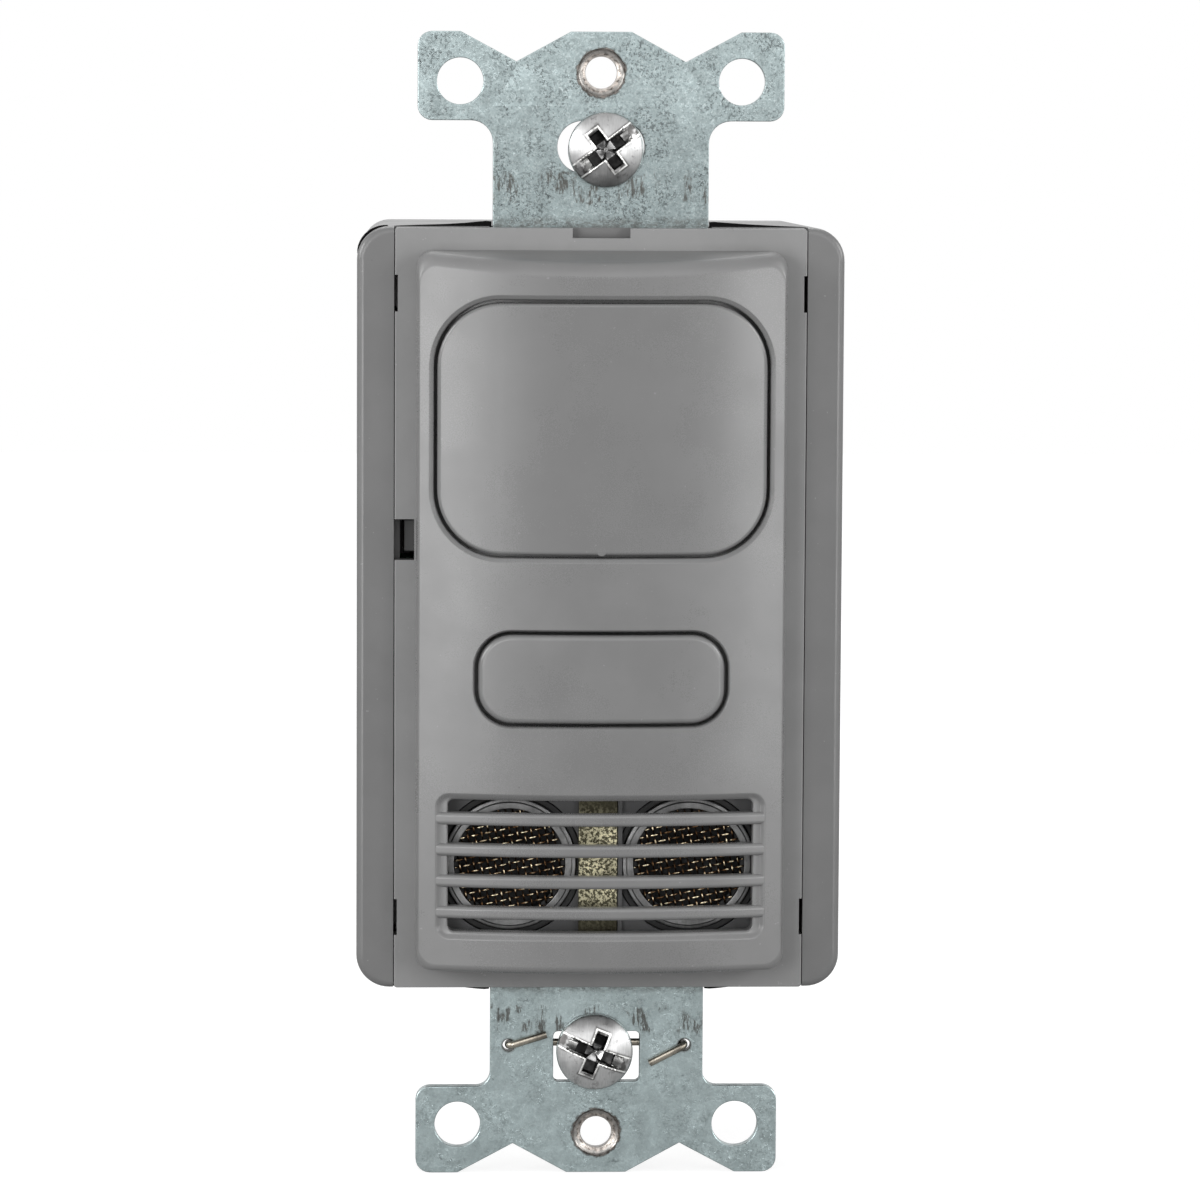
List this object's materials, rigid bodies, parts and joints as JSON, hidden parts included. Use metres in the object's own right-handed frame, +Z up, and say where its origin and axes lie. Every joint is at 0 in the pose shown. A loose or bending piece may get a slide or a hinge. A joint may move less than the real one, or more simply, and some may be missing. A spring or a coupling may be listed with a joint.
{
  "type": "motion sensor light switch",
  "caption": "In-wall occupancy sensor switch on a stamped steel strap, with a curved face, an infrared lens, a push button and a louvred ultrasonic grille.",
  "frame": {"origin": "centre of the mounting strap, on its back face, where it meets the wall box", "axes": "+Y into the wall, +Z up, +X to the right as seen from the room"},
  "size_m": [0.044, 0.045, 0.1042],
  "materials": {
    "galvanised_steel": "zinc plated, fine grain",
    "yellow_zinc_steel": "yellow passivated",
    "screw_steel": "bright zinc",
    "wire": "drawn",
    "grey_plastic": "satin moulded",
    "lens_plastic": "smooth satin",
    "dark_plastic": "satin",
    "rubber": "matt",
    "can_metal": "grey coated",
    "mesh_metal": "woven",
    "board": "solder mask",
    "component_plastic": "moulded",
    "lamp_plastic": "clear tinted",
    "nylon": "natural"
  },
  "bodies": {
    "sensor_body": {"mounting_strap": "galvanised_steel", "rear_housing": "grey_plastic", "front_cover": "grey_plastic", "infrared_lens": "lens_plastic", "button_switch": "dark_plastic", "transducer_carrier": "grey_plastic", "transducer_retainer": "yellow_zinc_steel", "transmitter_can": "can_metal", "receiver_can": "can_metal", "transmitter_boot": "rubber", "receiver_boot": "rubber", "transmitter_mesh": "mesh_metal", "receiver_mesh": "mesh_metal", "photocell_set_switch": "dark_plastic", "infrared_detector": "can_metal", "light_sensor": "lamp_plastic", "status_lamps": "lamp_plastic", "sensor_board": "board", "power_board": "board", "board_spacers": "nylon", "board_connector": "dark_plastic", "relay": "component_plastic", "electrolytic_capacitor": "component_plastic", "film_capacitor": "component_plastic", "power_transformer": "dark_plastic", "screw_retainer_wire": "wire"},
    "manual_button": {"push_button": "grey_plastic"},
    "switch_plunger": {"button_switch_plunger": "dark_plastic"},
    "photocell_button": {"photocell_set_button": "dark_plastic"},
    "upper_screw": {"upper_mounting_screw": "screw_steel"},
    "lower_screw": {"lower_mounting_screw": "screw_steel"}
  },
  "joints": [
    {"name": "button_press", "type": "slide", "parent": "sensor_body", "child": "manual_button", "axis": [0, 1, 0], "range_m": [0, 0.0006], "stiffness_N_per_m": 2500},
    {"name": "plunger_press", "type": "slide", "parent": "sensor_body", "child": "switch_plunger", "axis": [0, 1, 0], "range_m": [0, 0.0006]},
    {"name": "photocell_press", "type": "slide", "parent": "sensor_body", "child": "photocell_button", "axis": [0, 1, 0], "range_m": [0, 0.0003], "stiffness_N_per_m": 3000},
    {"name": "upper_screw_turn", "type": "hinge", "parent": "sensor_body", "child": "upper_screw", "pos_m": [0.0004, 0, 0.0415], "axis": [0, 1, 0], "continuous": true},
    {"name": "lower_screw_turn", "type": "hinge", "parent": "sensor_body", "child": "lower_screw", "pos_m": [-0.0002, 0, -0.04082], "axis": [0, 1, 0], "continuous": true}
  ],
  "couplings": [
    {"joint": "plunger_press", "follows": "button_press", "ratio": 1}
  ]
}
